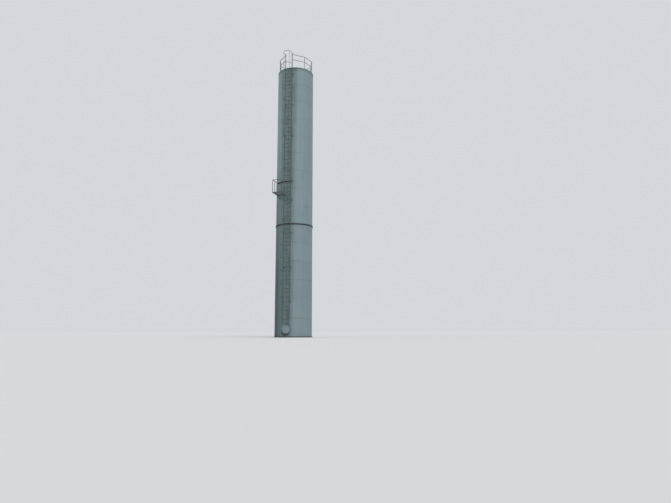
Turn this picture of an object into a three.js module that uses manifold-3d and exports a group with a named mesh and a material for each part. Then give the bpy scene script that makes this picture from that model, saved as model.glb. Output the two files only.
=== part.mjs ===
// A steel water tower of one constant diameter: a tall welded tank that stands on its own base plate,
// with a bolted ring joint, a manhole at the foot, a caged ladder with a rest platform half-way up,
// and a railing round the roof. Millimetres, +Z up, origin at the middle of the base plate's underside.
// The ladder, its cage and the manhole are centred on the -Y side.
import * as THREE from "three";
import { mergeVertices } from "three/addons/utils/BufferGeometryUtils.js";
import Module from "manifold-3d";

// Driving dimensions of the tank
const TANK_DIAMETER = 3000;
const WALL = 10;
const COURSE_HEIGHT = 1500;
const LOWER_COURSES = 6;
const UPPER_COURSES = 9;
const BASE_THICKNESS = 25;
const BASE_OVERHANG = 50;
const ROOF_THICKNESS = 12;
const ROOF_OVERHANG = 10;
const FLANGE_THICKNESS = 40;
const FLANGE_WIDTH = 40;
const WALL_SEGMENTS = 8;
const FACETS_PER_SEGMENT = 9;

// Driving dimensions of the manhole and the roof fittings
const MANHOLE_HEIGHT = 620;
const MANHOLE_NECK_DIAMETER = 508;
const MANHOLE_NECK_WALL = 10;
const MANHOLE_NECK_LENGTH = 150;
const MANHOLE_NECK_INSIDE = 30;
const MANHOLE_FLANGE_DIAMETER = 640;
const MANHOLE_FLANGE_THICKNESS = 28;
const MANHOLE_SIDES = 32;
const HATCH_CLEAR = 600;
const HATCH_CURB_WALL = 8;
const HATCH_CURB_HEIGHT = 150;
const HATCH_COVER_OVERHANG = 20;
const HATCH_COVER_THICKNESS = 10;
const HATCH_PLACE = [0, 350];
const VENT_DIAMETER = 114;
const VENT_HEIGHT = 340;
const VENT_CAP_DIAMETER = 240;
const VENT_CAP_HEIGHT = 70;
const VENT_CAP_EDGE = 23;
const VENT_SIDES = 20;
const VENT_PLACE = [-850, 350];

// Driving dimensions of the ladder and its cage
const LADDER_HALF_WIDTH = 300;
const LADDER_STANDOFF = 200;
const LADDER_FOOT = 1050;
const LADDER_ABOVE_ROOF = 1180;
const STILE_THICKNESS = 40;
const STILE_DEPTH = 60;
const RUNG_PITCH = 341;
const RUNG_DIAMETER = 26;
const FIRST_RUNG = 1400;
const RUNGS_PER_SECTION = 16;
const LADDER_SECTIONS = 4;
const BRACKETS_AT_RUNGS = [4, 12];
const BRACKET_BAR = 50;
const BRACKET_THICKNESS = 12;
const BRACKET_PAD_WIDTH = 100;
const BRACKET_PAD_HEIGHT = 140;
const BRACKET_PAD_PROUD = 10;
const CAGE_RADIUS = 360;
const CAGE_CENTRE_FROM_LADDER = 320;
const CAGE_TOP_ABOVE_ROOF = 1100;
const RUNGS_PER_HOOP = 3;
const HOOP_BAR = 40;
const HOOP_THICKNESS = 5;
const HOOP_CORNERS = 10;
const OPEN_HOOP_CORNERS = 7;
const OPEN_HOOP_PAST_STRAP = 20;
const HOOP_FACET_ANGLE = Math.PI / 8;
const HOOP_LAP = 40;
const HOOPS_IN_SECTION = [6, 6, 6, 5];
const STRAP_WIDTH = 25;
const STRAP_THICKNESS = 5;
const STRAP_BITE = 1;
const STRAP_ANGLES = [0, -45, -135, -180];
const OPEN_STRAP_ANGLE = -180;
const LAST_OPEN_HOOP_STRAP = -135;

// Driving dimensions of the rest platform and the railings
const PLATFORM_FLOOR = 11520;
const PLATFORM_THICKNESS = 50;
const PLATFORM_LEFT = -1080;
const PLATFORM_RIGHT = -275;
const PLATFORM_NOTCH = -335;
const PLATFORM_NOTCH_FRONT = -1775;
const PLATFORM_FRONT = -2300;
const PLATFORM_HEADROOM = 2205;
const PLATFORM_RAIL_HEIGHT = 1040;
const PLATFORM_POST_INSET = 30;
const PLATFORM_POST_PITCH = 435;
const PLATFORM_SIDE_POSTS = 3;
const PLATFORM_BRACKET_DROP = 350;
const PLATFORM_BRACKET_BAR = 50;
const PLATFORM_BRACKET_REACH = 1100;
const PLATFORM_LEFT_BRACKET = -840;
const PLATFORM_RIGHT_BRACKET = -420;
const WALL_BAND_HEIGHT = 100;
const WALL_BAND_DEPTH = 40;
const WALL_BAND_FACETS = [-6, 7];
const POST_DIAMETER = 42;
const RAIL_DIAMETER = 42;
const MID_RAIL_SHARE = 0.56;
const ROOF_RAIL_RADIUS = 1430;
const ROOF_RAIL_HEIGHT = 1120;
const ROOF_POST_ANGLES = [51, 94, 137, 180];
const RAIL_STUB = 60;
const RAIL_PAST_CORNER = 9;
const ROD_SIDES = 6;
const GAP = 0.3;

// Sizes worked out from the driving dimensions
const RADIUS = TANK_DIAMETER / 2;
const JOINT_LEVEL = LOWER_COURSES * COURSE_HEIGHT;
const ROOF_LEVEL = (LOWER_COURSES + UPPER_COURSES) * COURSE_HEIGHT;
const FACETS = WALL_SEGMENTS * FACETS_PER_SEGMENT;
const FACET_ANGLE = (2 * Math.PI) / FACETS;
const FIRST_FACET_ANGLE = -Math.PI / 2 - (FACETS_PER_SEGMENT / 2) * FACET_ANGLE;
const LADDER_PLANE = -(RADIUS + LADDER_STANDOFF);
const LADDER_TOP = ROOF_LEVEL + LADDER_ABOVE_ROOF;
const CAGE_CENTRE = LADDER_PLANE - CAGE_CENTRE_FROM_LADDER;
const CAGE_TOP = ROOF_LEVEL + CAGE_TOP_ABOVE_ROOF;
const HOOP_PITCH = RUNGS_PER_HOOP * RUNG_PITCH;
const PLATFORM_TOP_RAIL = PLATFORM_FLOOR + PLATFORM_RAIL_HEIGHT - RAIL_DIAMETER / 2;

// Paint and metal
const wallPaint = paint(0x7c8e93, 0.55, 0.1);
const fittingPaint = paint(0x6b7a7e, 0.55, 0.2);
const ladderPaint = paint(0x444d50, 0.5, 0.3);

function paint(colour, roughness, metalness) {
  return new THREE.MeshStandardMaterial({ color: colour, roughness, metalness });
}

const wasm = await Module();
wasm.setup();

// A closed geometry as a solid that can be joined and cut.
function solidOf(geometry) {
  const bare = geometry.clone();
  bare.deleteAttribute("normal");
  bare.deleteAttribute("uv");
  const merged = mergeVertices(bare, 1e-3);
  const vertProperties = merged.attributes.position.array;
  const triVerts = new Uint32Array(merged.index.array);
  return new wasm.Manifold(new wasm.Mesh({ numProp: 3, vertProperties, triVerts }));
}

// A solid as a geometry that a mesh can show.
function geometryOf(solid) {
  const made = solid.getMesh();
  const geometry = new THREE.BufferGeometry();
  const positions = new Float32Array(made.vertProperties);
  geometry.setAttribute("position", new THREE.BufferAttribute(positions, 3));
  geometry.setIndex(new THREE.BufferAttribute(new Uint32Array(made.triVerts), 1));
  geometry.computeVertexNormals();
  return geometry;
}

function joined(geometries) {
  return geometries.map(solidOf).reduce((whole, piece) => whole.add(piece));
}

function piece(name, geometry, material) {
  const mesh = new THREE.Mesh(geometry, material);
  mesh.name = name;
  return mesh;
}

// A block between its lowest and highest corners.
function block(low, high) {
  const size = high.map((value, axis) => value - low[axis]);
  const geometry = new THREE.BoxGeometry(...size);
  return geometry.translate(...low.map((value, axis) => value + size[axis] / 2));
}

// A straight round bar between two points.
function rod(from, to, diameter) {
  const start = new THREE.Vector3(...from);
  const along = new THREE.Vector3(...to).sub(start);
  const length = along.length();
  const geometry = new THREE.CylinderGeometry(diameter / 2, diameter / 2, length, ROD_SIDES);
  const turn = new THREE.Quaternion();
  turn.setFromUnitVectors(new THREE.Vector3(0, 1, 0), along.clone().normalize());
  const middle = start.addScaledVector(along, 0.5);
  return geometry.applyQuaternion(turn).translate(middle.x, middle.y, middle.z);
}

// An outline in plan, raised from one level by a height.
function raised(outline, bottom, height, holes = []) {
  const shape = new THREE.Shape(outline);
  shape.holes = holes.map((hole) => new THREE.Path(hole));
  const settings = { depth: height, bevelEnabled: false };
  return new THREE.ExtrudeGeometry(shape, settings).translate(0, 0, bottom);
}

// A corner of the tank's faceted wall at some radius, counted from the left edge of the front segment.
function wallPoint(radius, facet) {
  const angle = FIRST_FACET_ANGLE + (facet % FACETS) * FACET_ANGLE;
  return new THREE.Vector2(radius * Math.cos(angle), radius * Math.sin(angle));
}

function wallPoints(radius, firstFacet, lastFacet) {
  const count = lastFacet - firstFacet + 1;
  return Array.from({ length: count }, (_, step) => wallPoint(radius, firstFacet + step));
}

function wholeRing(radius) {
  return wallPoints(radius, 0, FACETS - 1);
}

// A curved strip of the wall's form between two radii.
function strip(inner, outer, firstFacet, lastFacet) {
  return [
    ...wallPoints(outer, firstFacet, lastFacet),
    ...wallPoints(inner, firstFacet, lastFacet).reverse(),
  ];
}

// The space that the tank fills, a hair larger, which trims what is fixed to the wall.
function tankSpace(bottom, height) {
  return solidOf(raised(wholeRing(RADIUS + GAP), bottom, height));
}

function circle(radius, sides) {
  return Array.from({ length: sides }, (_, step) => {
    const angle = (step * 2 * Math.PI) / sides;
    return new THREE.Vector2(radius * Math.cos(angle), radius * Math.sin(angle));
  });
}

// A disc or ring across the manhole's axis, from one distance off the tower's middle to another.
function manholeRing(outer, from, to, inner = 0) {
  const holes = inner > 0 ? [circle(inner, MANHOLE_SIDES)] : [];
  const geometry = raised(circle(outer, MANHOLE_SIDES), from, to - from, holes);
  return geometry.rotateX(Math.PI / 2).translate(0, 0, MANHOLE_HEIGHT);
}

// A level rail through some corners in plan; its straight lengths run past each corner to fill the bend.
function bentRail(corners, level) {
  const lengths = corners.length - 1;
  return Array.from({ length: lengths }, (_, index) => {
    const [start, end] = [corners[index], corners[index + 1]];
    const along = end.clone().sub(start).normalize();
    const from = start.clone().addScaledVector(along, index > 0 ? -RAIL_PAST_CORNER : 0);
    const to = end.clone().addScaledVector(along, index < lengths - 1 ? RAIL_PAST_CORNER : 0);
    return rod([from.x, from.y, level], [to.x, to.y, level], RAIL_DIAMETER);
  });
}

function tankWalls() {
  const walls = new THREE.Group();
  const upperTop = ROOF_LEVEL - ROOF_THICKNESS;
  for (let index = 0; index < WALL_SEGMENTS; index++) {
    const first = index * FACETS_PER_SEGMENT;
    const outline = strip(RADIUS - WALL, RADIUS, first, first + FACETS_PER_SEGMENT);
    let lower = raised(outline, BASE_THICKNESS, JOINT_LEVEL - BASE_THICKNESS);
    if (index === 0) lower = geometryOf(solidOf(lower).subtract(manholeCut()));
    walls.add(piece(`lower_wall_${index + 1}`, lower, wallPaint));
    const upper = raised(outline, JOINT_LEVEL, upperTop - JOINT_LEVEL);
    walls.add(piece(`upper_wall_${index + 1}`, upper, wallPaint));
  }
  return walls;
}

function manholeCut() {
  const radius = MANHOLE_NECK_DIAMETER / 2 + GAP;
  return solidOf(manholeRing(radius, RADIUS - 4 * WALL, RADIUS + WALL));
}

function basePlate() {
  const outline = wholeRing(RADIUS + BASE_OVERHANG);
  return piece("base_plate", raised(outline, 0, BASE_THICKNESS), fittingPaint);
}

// The two rings that are bolted together where the lower and the upper part of the tank meet.
function jointFlanges() {
  const outer = wholeRing(RADIUS + FLANGE_WIDTH);
  const hole = wholeRing(RADIUS + GAP);
  const lower = raised(outer, JOINT_LEVEL - FLANGE_THICKNESS, FLANGE_THICKNESS, [hole]);
  const upper = raised(outer, JOINT_LEVEL, FLANGE_THICKNESS, [hole]);
  const flanges = new THREE.Group();
  flanges.add(piece("joint_flange_lower", lower, fittingPaint));
  flanges.add(piece("joint_flange_upper", upper, fittingPaint));
  return flanges;
}

function square(side, centre) {
  const [x, y] = centre;
  const half = side / 2;
  return [
    new THREE.Vector2(x - half, y - half),
    new THREE.Vector2(x + half, y - half),
    new THREE.Vector2(x + half, y + half),
    new THREE.Vector2(x - half, y + half),
  ];
}

function roofPlate() {
  const outline = wholeRing(RADIUS + ROOF_OVERHANG);
  const hole = square(HATCH_CLEAR, HATCH_PLACE);
  const geometry = raised(outline, ROOF_LEVEL - ROOF_THICKNESS, ROOF_THICKNESS, [hole]);
  return piece("roof_plate", geometry, wallPaint);
}

function roofHatch() {
  const outer = square(HATCH_CLEAR + 2 * HATCH_CURB_WALL, HATCH_PLACE);
  const inner = square(HATCH_CLEAR, HATCH_PLACE);
  const lid = square(HATCH_CLEAR + 2 * HATCH_CURB_WALL + 2 * HATCH_COVER_OVERHANG, HATCH_PLACE);
  const curb = raised(outer, ROOF_LEVEL, HATCH_CURB_HEIGHT, [inner]);
  const cover = raised(lid, ROOF_LEVEL + HATCH_CURB_HEIGHT, HATCH_COVER_THICKNESS);
  const hatch = new THREE.Group();
  hatch.add(piece("hatch_curb", curb, fittingPaint));
  hatch.add(piece("hatch_cover", cover, fittingPaint));
  return hatch;
}

function roofVent() {
  const pipe = VENT_DIAMETER / 2;
  const cap = VENT_CAP_DIAMETER / 2;
  const capFoot = VENT_HEIGHT - VENT_CAP_HEIGHT;
  const outline = [
    [0, 0],
    [pipe, 0],
    [pipe, capFoot],
    [cap, capFoot],
    [cap, capFoot + VENT_CAP_EDGE],
    [0, VENT_HEIGHT],
  ];
  const profile = outline.map(([radius, height]) => new THREE.Vector2(radius, height));
  const geometry = new THREE.LatheGeometry(profile, VENT_SIDES).rotateX(Math.PI / 2);
  geometry.translate(...VENT_PLACE, ROOF_LEVEL);
  return piece("roof_vent", geometry, fittingPaint);
}

function manhole() {
  const neck = MANHOLE_NECK_DIAMETER / 2;
  const flange = MANHOLE_FLANGE_DIAMETER / 2;
  const face = RADIUS + MANHOLE_NECK_LENGTH;
  const back = face - MANHOLE_FLANGE_THICKNESS;
  const foot = RADIUS - MANHOLE_NECK_INSIDE;
  const bore = neck - MANHOLE_NECK_WALL;
  const fittings = new THREE.Group();
  const tube = manholeRing(neck, foot, face, bore);
  const ring = manholeRing(flange, back, face, neck + GAP);
  const cover = manholeRing(flange, face, face + MANHOLE_FLANGE_THICKNESS);
  fittings.add(piece("manhole_neck", tube, fittingPaint));
  fittings.add(piece("manhole_flange", ring, fittingPaint));
  fittings.add(piece("manhole_cover", cover, fittingPaint));
  return fittings;
}

// One stile between two levels; side is -1 on the left and 1 on the right.
function stile(side, bottom, top) {
  const x = side * LADDER_HALF_WIDTH;
  const low = [x - STILE_THICKNESS / 2, LADDER_PLANE - STILE_DEPTH / 2, bottom];
  const high = [x + STILE_THICKNESS / 2, LADDER_PLANE + STILE_DEPTH / 2, top];
  return block(low, high);
}

// The arm and the wall pad that hold one stile off the wall.
function ladderBracket(side, level) {
  const x = side * LADDER_HALF_WIDTH;
  const wallDepth = Math.sqrt(RADIUS ** 2 - LADDER_HALF_WIDTH ** 2);
  const padFront = -(wallDepth + BRACKET_PAD_PROUD);
  const armBack = -wallDepth + STILE_DEPTH / 2;
  const arm = block(
    [x - BRACKET_THICKNESS / 2, LADDER_PLANE, level - BRACKET_BAR / 2],
    [x + BRACKET_THICKNESS / 2, armBack, level + BRACKET_BAR / 2],
  );
  const pad = block(
    [x - BRACKET_PAD_WIDTH / 2, padFront, level - BRACKET_PAD_HEIGHT / 2],
    [x + BRACKET_PAD_WIDTH / 2, armBack, level + BRACKET_PAD_HEIGHT / 2],
  );
  const trim = tankSpace(level - BRACKET_PAD_HEIGHT, 2 * BRACKET_PAD_HEIGHT);
  return joined([arm, pad]).subtract(trim);
}

function ladderSection(index) {
  const firstRung = FIRST_RUNG + index * RUNGS_PER_SECTION * RUNG_PITCH;
  const bottom = index === 0 ? LADDER_FOOT : firstRung - RUNG_PITCH / 2;
  const nextFoot = firstRung + (RUNGS_PER_SECTION - 0.5) * RUNG_PITCH;
  const top = index === LADDER_SECTIONS - 1 ? LADDER_TOP : nextFoot;
  let section = joined([stile(-1, bottom, top), stile(1, bottom, top)]);
  for (let step = 0; step < RUNGS_PER_SECTION; step++) {
    const level = firstRung + step * RUNG_PITCH;
    if (level > ROOF_LEVEL) break;
    const left = [-LADDER_HALF_WIDTH, LADDER_PLANE, level];
    const right = [LADDER_HALF_WIDTH, LADDER_PLANE, level];
    section = section.add(solidOf(rod(left, right, RUNG_DIAMETER)));
  }
  for (const rung of BRACKETS_AT_RUNGS) {
    const level = firstRung + rung * RUNG_PITCH;
    section = section.add(ladderBracket(-1, level)).add(ladderBracket(1, level));
  }
  return piece(`ladder_${index + 1}`, geometryOf(section), ladderPaint);
}

function ladder() {
  const sections = new THREE.Group();
  for (let index = 0; index < LADDER_SECTIONS; index++) sections.add(ladderSection(index));
  return sections;
}

// A point of a hoop's band in plan, at an angle round the cage's axis.
function cagePoint(radius, angle) {
  return new THREE.Vector2(radius * Math.cos(angle), CAGE_CENTRE + radius * Math.sin(angle));
}

// One side of a hoop's band in plan, from the lap on the right stile round the front to its far end.
function hoopLine(offset, open) {
  const radius = CAGE_RADIUS + offset;
  const lapX = LADDER_HALF_WIDTH + STILE_THICKNESS / 2 + GAP + HOOP_THICKNESS / 2 + offset;
  const lapBack = LADDER_PLANE - STILE_DEPTH / 2 + HOOP_LAP;
  const turnIn = Math.acos(lapX / radius);
  const corners = open ? OPEN_HOOP_CORNERS : HOOP_CORNERS;
  const line = [new THREE.Vector2(lapX, lapBack), cagePoint(radius, turnIn)];
  for (let step = 0; step < corners; step++) {
    line.push(cagePoint(radius, (0.5 - step) * HOOP_FACET_ANGLE));
  }
  if (open) return [...line, openHoopEnd(radius)];
  return [...line, cagePoint(radius, -Math.PI - turnIn), new THREE.Vector2(-lapX, lapBack)];
}

// The end of an open hoop, a little past the last strap that it carries.
function openHoopEnd(radius) {
  const angle = THREE.MathUtils.degToRad(LAST_OPEN_HOOP_STRAP);
  const middle = cagePoint(radius * Math.cos(HOOP_FACET_ANGLE / 2), angle);
  const onward = new THREE.Vector2(Math.sin(angle), -Math.cos(angle));
  return middle.addScaledVector(onward, OPEN_HOOP_PAST_STRAP);
}

// A hoop of the cage; an open one stops short of the left strap and leaves the way to the platform free.
function hoop(level, open) {
  const outside = hoopLine(HOOP_THICKNESS / 2, open);
  const inside = hoopLine(-HOOP_THICKNESS / 2, open);
  return raised([...inside, ...outside.reverse()], level - HOOP_BAR / 2, HOOP_BAR);
}

// An upright strap on the inside of the hoops.
function strap(angle, bottom, top) {
  const hoopFace = (CAGE_RADIUS - HOOP_THICKNESS / 2) * Math.cos(HOOP_FACET_ANGLE / 2);
  const outer = hoopFace + STRAP_BITE;
  const low = [hoopFace - STRAP_THICKNESS, -STRAP_WIDTH / 2, bottom];
  const bar = block(low, [outer, STRAP_WIDTH / 2, top]);
  return bar.rotateZ(THREE.MathUtils.degToRad(angle)).translate(0, CAGE_CENTRE, 0);
}

function facesPlatform(level) {
  const wayTop = PLATFORM_FLOOR + PLATFORM_HEADROOM;
  return level > PLATFORM_FLOOR - 2 * PLATFORM_THICKNESS && level < wayTop;
}

function cageSection(index) {
  const hoopsBelow = HOOPS_IN_SECTION.slice(0, index).reduce((sum, count) => sum + count, 0);
  const allHoops = HOOPS_IN_SECTION.reduce((sum, count) => sum + count, 0);
  const lowest = CAGE_TOP - (allHoops - 1 - hoopsBelow) * HOOP_PITCH;
  const count = HOOPS_IN_SECTION[index];
  const highest = lowest + (count - 1) * HOOP_PITCH;
  const bottom = index === 0 ? lowest - HOOP_BAR / 2 : lowest - HOOP_PITCH / 2;
  const last = index === HOOPS_IN_SECTION.length - 1;
  const top = last ? highest + HOOP_BAR / 2 : highest + HOOP_PITCH / 2;
  const levels = Array.from({ length: count }, (_, step) => lowest + step * HOOP_PITCH);
  const closed = levels.filter((level) => !facesPlatform(level));
  const hoops = levels.map((level) => hoop(level, facesPlatform(level)));
  const straps = STRAP_ANGLES.map((angle) => {
    if (angle !== OPEN_STRAP_ANGLE) return strap(angle, bottom, top);
    const from = facesPlatform(bottom) ? closed[0] - HOOP_BAR / 2 : bottom;
    const to = facesPlatform(top) ? closed[closed.length - 1] + HOOP_BAR / 2 : top;
    return strap(angle, from, to);
  });
  return piece(`cage_${index + 1}`, geometryOf(joined([...hoops, ...straps])), ladderPaint);
}

function cage() {
  const sections = new THREE.Group();
  HOOPS_IN_SECTION.forEach((_, index) => sections.add(cageSection(index)));
  return sections;
}

// The floor of the rest platform, notched for the ladder.
function platformFloor() {
  const bottom = PLATFORM_FLOOR - PLATFORM_THICKNESS;
  const slab = block([PLATFORM_LEFT, PLATFORM_FRONT, bottom], [PLATFORM_NOTCH, 0, PLATFORM_FLOOR]);
  const step = block(
    [PLATFORM_NOTCH - PLATFORM_THICKNESS, PLATFORM_FRONT, bottom],
    [PLATFORM_RIGHT, PLATFORM_NOTCH_FRONT, PLATFORM_FLOOR],
  );
  const trim = tankSpace(bottom - PLATFORM_THICKNESS, 3 * PLATFORM_THICKNESS);
  return piece("platform_floor", geometryOf(joined([slab, step]).subtract(trim)), ladderPaint);
}

function platformBracket(name, x) {
  const top = PLATFORM_FLOOR - PLATFORM_THICKNESS;
  const half = PLATFORM_BRACKET_BAR / 2;
  const wallDepth = Math.sqrt(RADIUS ** 2 - x ** 2);
  const tip = -wallDepth - PLATFORM_BRACKET_REACH;
  const front = Math.max(tip, PLATFORM_FRONT + PLATFORM_BRACKET_BAR);
  const foot = top - PLATFORM_BRACKET_DROP;
  const arm = block([x - half, front, top - PLATFORM_BRACKET_BAR], [x + half, -wallDepth + half, top]);
  const back = block([x - half, -wallDepth - half, foot], [x + half, -wallDepth + half, top]);
  const brace = rod(
    [x, -wallDepth, foot + half],
    [x, front + PLATFORM_BRACKET_BAR, top - half],
    PLATFORM_BRACKET_BAR,
  );
  const trim = tankSpace(foot - PLATFORM_BRACKET_BAR, PLATFORM_BRACKET_DROP + 3 * PLATFORM_BRACKET_BAR);
  return piece(name, geometryOf(joined([arm, back, brace]).subtract(trim)), ladderPaint);
}

// The platform's railing: one top rail along the front and the left side, on upright posts.
function platformRailing() {
  const left = PLATFORM_LEFT + PLATFORM_POST_INSET;
  const front = PLATFORM_FRONT + PLATFORM_POST_INSET;
  const right = PLATFORM_RIGHT - PLATFORM_POST_INSET;
  const foot = PLATFORM_FLOOR + GAP;
  const level = PLATFORM_TOP_RAIL;
  const posts = Array.from({ length: PLATFORM_SIDE_POSTS }, (_, step) => {
    return [left, front + step * PLATFORM_POST_PITCH];
  });
  posts.push([right, front]);
  const bars = posts.map(([x, y]) => rod([x, y, foot], [x, y, level], POST_DIAMETER));
  const overlap = RAIL_DIAMETER / 2;
  bars.push(rod([left, front - overlap, level], [left, 0, level], RAIL_DIAMETER));
  bars.push(rod([left - overlap, front, level], [right + overlap, front, level], RAIL_DIAMETER));
  const trim = tankSpace(PLATFORM_FLOOR, 2 * PLATFORM_RAIL_HEIGHT);
  return piece("platform_railing", geometryOf(joined(bars).subtract(trim)), ladderPaint);
}

// A bar that follows the wall from the platform's railing to the ladder.
function platformWallBand() {
  const [firstFacet, lastFacet] = WALL_BAND_FACETS;
  const shifted = [firstFacet + FACETS, lastFacet + FACETS];
  const outline = strip(RADIUS + GAP, RADIUS + GAP + WALL_BAND_DEPTH, ...shifted);
  const bottom = PLATFORM_TOP_RAIL - WALL_BAND_HEIGHT / 2;
  const top = bottom + WALL_BAND_HEIGHT;
  const railSide = PLATFORM_LEFT + PLATFORM_POST_INSET + RAIL_DIAMETER / 2 + GAP;
  const beyondRail = block([PLATFORM_LEFT - RADIUS, PLATFORM_FRONT, bottom - 1], [railSide, 0, top + 1]);
  const band = solidOf(raised(outline, bottom, WALL_BAND_HEIGHT)).subtract(solidOf(beyondRail));
  return piece("platform_wall_band", geometryOf(band), ladderPaint);
}

function platform() {
  const group = new THREE.Group();
  group.add(platformFloor());
  group.add(platformBracket("platform_bracket_left", PLATFORM_LEFT_BRACKET));
  group.add(platformBracket("platform_bracket_right", PLATFORM_RIGHT_BRACKET));
  group.add(platformRailing());
  group.add(platformWallBand());
  return group;
}

// One stretch of the roof railing: two rails through some corners in plan, and the posts that carry them.
function roofRailing(name, corners, posts) {
  const topLevel = ROOF_LEVEL + ROOF_RAIL_HEIGHT - RAIL_DIAMETER / 2;
  const midLevel = ROOF_LEVEL + MID_RAIL_SHARE * ROOF_RAIL_HEIGHT;
  const rails = [topLevel, midLevel].flatMap((level) => bentRail(corners, level));
  const uprights = posts.map(({ x, y }) => rod([x, y, ROOF_LEVEL + GAP], [x, y, topLevel], POST_DIAMETER));
  return piece(name, geometryOf(joined([...rails, ...uprights])), ladderPaint);
}

// Where a roof post stands, at an angle from the ladder in degrees, positive to the right.
function roofPost(angle) {
  const turn = THREE.MathUtils.degToRad(angle);
  return new THREE.Vector2(ROOF_RAIL_RADIUS * Math.sin(turn), -ROOF_RAIL_RADIUS * Math.cos(turn));
}

// The point some distance past one post on the straight way to the next.
function pastPost(post, next, distance) {
  return next.clone().sub(post).setLength(distance).add(post);
}

// The railing, straight between its posts; each side is parted just past its side post and its end post.
function roofRailings() {
  const group = new THREE.Group();
  for (const [word, side] of [
    ["right", 1],
    ["left", -1],
  ]) {
    const [front, beside, back, end] = ROOF_POST_ANGLES.map((angle) => roofPost(side * angle));
    const atStile = new THREE.Vector2(side * LADDER_HALF_WIDTH, LADDER_PLANE + STILE_DEPTH / 2 + GAP);
    const bend = new THREE.Vector2(atStile.x, atStile.y + RAIL_STUB);
    const parting = pastPost(beside, back, POST_DIAMETER);
    group.add(roofRailing(`roof_railing_${word}_front`, [atStile, bend, front, beside, parting], [front, beside]));
    const start = pastPost(beside, back, POST_DIAMETER + GAP);
    const acrossBack = new THREE.Vector2(-back.x, back.y);
    const name = `roof_railing_${word}_back`;
    if (side > 0) {
      group.add(roofRailing(name, [start, back, end, pastPost(end, acrossBack, POST_DIAMETER)], [back, end]));
    } else {
      group.add(roofRailing(name, [start, back, pastPost(end, back, POST_DIAMETER + GAP)], [back]));
    }
  }
  return group;
}

const tower = new THREE.Group();
tower.add(basePlate());
tower.add(tankWalls());
tower.add(jointFlanges());
tower.add(roofPlate());
tower.add(roofHatch());
tower.add(roofVent());
tower.add(manhole());
tower.add(ladder());
tower.add(cage());
tower.add(platform());
tower.add(roofRailings());

export default tower;
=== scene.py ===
"""The dressed model of a steel column water tower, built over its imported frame.

Metres, +Z up, the tank's axis on Z. The ladder, its cage and the manhole are centred on the -Y side.
Every piece is built where the frame has it, from the sizes at the top, and rides on the body "root".
"""

import math

import bpy
from mathutils import Matrix, Vector, noise


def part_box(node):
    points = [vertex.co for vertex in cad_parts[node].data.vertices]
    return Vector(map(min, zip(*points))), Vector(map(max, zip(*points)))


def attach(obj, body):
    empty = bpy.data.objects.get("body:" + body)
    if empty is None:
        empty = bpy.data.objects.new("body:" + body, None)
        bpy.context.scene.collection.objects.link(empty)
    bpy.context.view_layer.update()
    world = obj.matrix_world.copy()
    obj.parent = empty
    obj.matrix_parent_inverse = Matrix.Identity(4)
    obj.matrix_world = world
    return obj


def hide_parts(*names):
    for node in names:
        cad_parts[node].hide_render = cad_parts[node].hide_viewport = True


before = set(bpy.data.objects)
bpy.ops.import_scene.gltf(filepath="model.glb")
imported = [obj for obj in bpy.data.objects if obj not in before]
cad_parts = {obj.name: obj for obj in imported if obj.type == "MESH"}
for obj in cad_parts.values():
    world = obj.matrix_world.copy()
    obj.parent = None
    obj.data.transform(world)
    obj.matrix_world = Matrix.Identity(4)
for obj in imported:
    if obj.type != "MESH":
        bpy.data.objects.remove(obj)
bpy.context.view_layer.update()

# The body and the material slots
BODY = "root"
TANK = "tank_paint"
FITTING = "fitting_paint"
LADDER = "ladder_paint"

# Directions
UP = Vector((0, 0, 1))
DOWN = Vector((0, 0, -1))
BACK = Vector((0, 1, 0))
FRONT = Vector((0, -1, 0))

# The small offset by which parts that meet stand apart or reach into each other
TOUCH = 0.001

# Bars and tubes in general
TUBE_SIDES = 14
UPRIGHT = 0.9
SHARPEST_MITRE = 0.5
SMOOTH_UP_TO = 32

# Sizes of the tank
RADIUS = 1.5
COURSE = 1.5
LOWER_COURSES = 6
COURSES = 15
JOINT_LEVEL = 9.0
ROOF_LEVEL = 22.5
ROOF_THICKNESS = 0.012
ROOF_RADIUS = 1.51
ROOF_EDGE = 0.002
RIM_BAR = (0.008, 0.08)
BASE_THICKNESS = 0.025
BASE_RADIUS = 1.548
BASE_EDGE = 0.003
FLANGE_RADIUS = 1.54
FLANGE_THICKNESS = 0.04
FLANGE_EDGE = 0.0025
INTO_WALL = 0.004
PLATE_MIDDLE = 0.05
SHELL_SIDES = 192
ROWS_PER_COURSE = 10
PLATE_WAVE = 0.0022
WAVE_ACROSS = 1.7
WAVE_UP = 0.8
WELD_WIDTH = 0.016
WELD_HEIGHT = 0.003
BEAD = ((-1.0, 0.0), (-0.5, 0.75), (0.0, 1.0), (0.5, 0.75), (1.0, 0.0))
BEAD_SUNK = 0.0004
FIRST_SEAM = 31
SEAM_STEP = 67
FOOT_WELD = (0.009, 0.012)
JOINT_BOLTS = (60, 1.5205, 0.02)
ANCHOR_BOLTS = (36, 1.5265, 0.022)

# Sizes of the manhole, the hatch and the vent
MANHOLE_LEVEL = 0.62
NECK_RADIUS = 0.254
NECK_WALL = 0.01
NECK_START = 1.462
NECK_WELD = 0.007
NECK_SIDES = 72
MANHOLE_RADIUS = 0.32
MANHOLE_FACE = 1.65
MANHOLE_PLATE = 0.028
MANHOLE_MIDDLE = 0.02
MANHOLE_SIDES = 96
GASKET = 0.0015
MANHOLE_EDGES = (0.002, 0.003)
MANHOLE_BOLTS = 16
MANHOLE_CIRCLE = 0.29
MANHOLE_BOLT = 0.02
HATCH_CENTRE = (0.0, 0.35)
HATCH_HALF = 0.328
HATCH_TOP = 22.66
HATCH_PLATE = 0.008
HATCH_LIP = (0.004, 0.045)
GRIP_FRONT = 0.24
GRIP_BAR = 0.006
GRIP_BENDS = ((0.08, 0), (0.08, 0.04), (0.065, 0.055))
HATCH_BOLT_LINE = 0.298
HATCH_BOLTS = (-0.24, -0.08, 0.08, 0.24)
HATCH_BOLT = 0.012
VENT_CENTRE = (-0.85, 0.35)
VENT_SIDES = 48
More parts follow.
